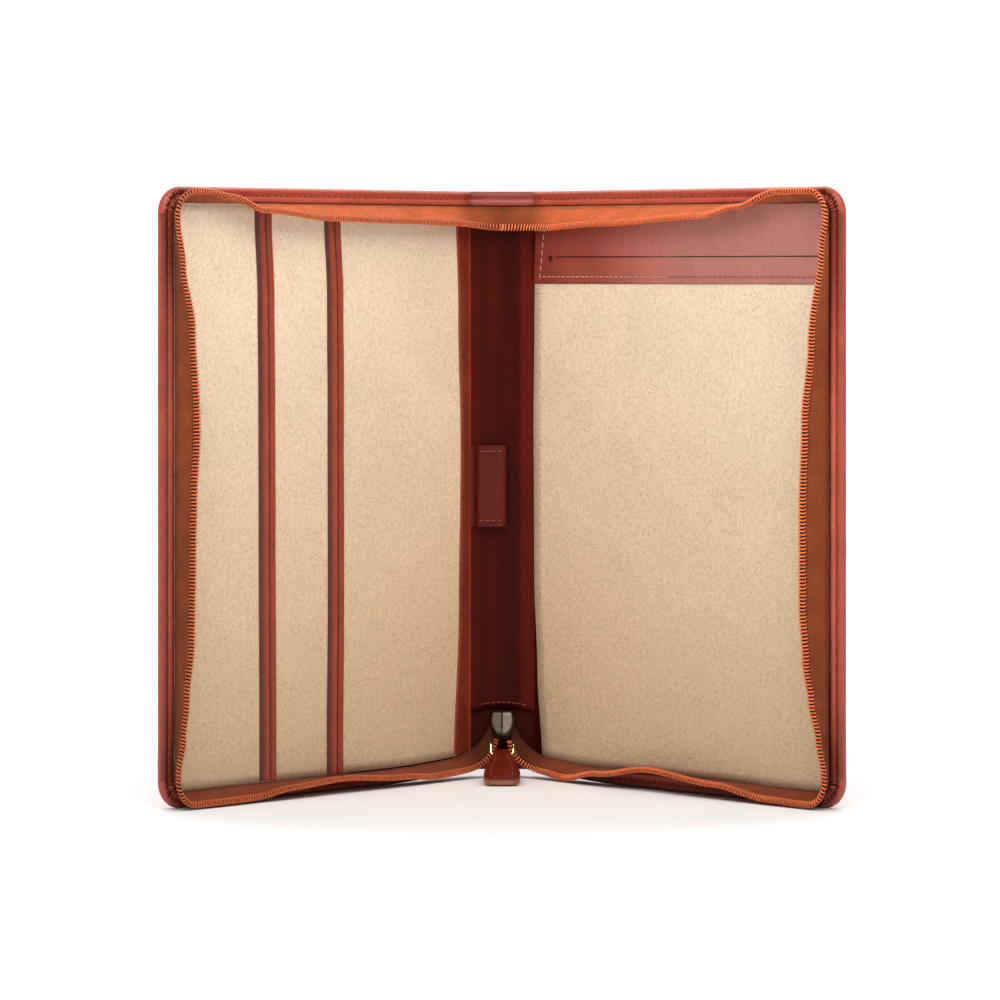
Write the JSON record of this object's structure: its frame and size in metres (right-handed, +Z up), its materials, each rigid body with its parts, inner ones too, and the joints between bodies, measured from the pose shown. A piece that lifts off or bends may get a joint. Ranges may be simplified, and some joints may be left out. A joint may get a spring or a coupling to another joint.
{
  "type": "zip-around portfolio case",
  "caption": "Zip-around leather portfolio case standing open, with suede pockets, a pad panel, a pen loop and a leather zip pull.",
  "frame": {"origin": "centre of the bounding box in X and Y, on the plane that the case stands on", "axes": "+X to the right seen from the open side, +Y to the back (out of the spine), +Z up along the spine"},
  "size_m": [0.3782, 0.1891, 0.34],
  "materials": {
    "leather": "glossy waxed, fine grain",
    "lining_leather": "glossy, smooth",
    "trim_leather": "glossy, smooth",
    "suede": "matt suede with pores",
    "zip_tape": "woven",
    "zip_coil": "satin nylon coil",
    "slider_metal": "satin nickel plate",
    "ring_brass": "polished",
    "board": "grey board",
    "padding": "felt"
  },
  "bodies": {
    "spine": {"spine_leather": "leather", "spine_board": "board", "spine_lining": "lining_leather", "pen_loop": "lining_leather", "spine_zip_tape": "zip_tape", "spine_zip_coil": "zip_coil", "left_hinge_leather": "leather", "right_hinge_leather": "leather"},
    "left_cover": {"left_cover_leather": "leather", "left_cover_board": "board", "left_cover_padding": "padding", "left_suede_lining": "suede", "left_middle_pocket": "suede", "left_middle_pocket_trim": "trim_leather", "left_front_pocket": "suede", "left_front_pocket_trim": "trim_leather", "left_hinge_strip": "trim_leather", "left_zip_tape": "zip_tape", "left_zip_coil": "zip_coil"},
    "right_cover": {"right_cover_leather": "leather", "right_cover_board": "board", "right_cover_padding": "padding", "right_suede_lining": "suede", "right_suede_panel": "suede", "right_slot_panel": "trim_leather", "right_zip_tape": "zip_tape", "right_zip_coil": "zip_coil"},
    "zip_slider": {"slider_body": "slider_metal", "slider_bridge": "slider_metal", "slider_lock_pawl": "slider_metal"},
    "pull_ring": {"pull_ring": "ring_brass"},
    "pull_tab": {"pull_tab_leather": "leather", "pull_tab_core": "board"}
  },
  "joints": [
    {"name": "left_cover_hinge", "type": "hinge", "parent": "spine", "child": "left_cover", "pos_m": [-0.0185, 0.09029, 0], "axis": [0, 0, 1], "range_deg": [-47, 43], "deforming": ["left_zip_tape", "left_zip_coil", "left_hinge_leather", "spine_zip_tape", "spine_zip_coil"]},
    {"name": "right_cover_hinge", "type": "hinge", "parent": "spine", "child": "right_cover", "pos_m": [0.0185, 0.09029, 0], "axis": [0, 0, -1], "range_deg": [-47, 43], "deforming": ["right_zip_tape", "right_zip_coil", "right_hinge_leather"]},
    {"name": "zip_slider_travel", "type": "slide", "parent": "spine", "child": "zip_slider", "axis": [0, -0.9954, -0.0958], "range_m": [0, 0.215]},
    {"name": "pull_ring_hinge", "type": "hinge", "parent": "zip_slider", "child": "pull_ring", "pos_m": [0, 0.08424, 0.02724], "axis": [1, 0, 0], "range_deg": [0, 38]},
    {"name": "pull_tab_hinge", "type": "hinge", "parent": "pull_ring", "child": "pull_tab", "pos_m": [0, 0.07674, 0.01425], "axis": [1, 0, 0], "range_deg": [-75, 32]}
  ]
}
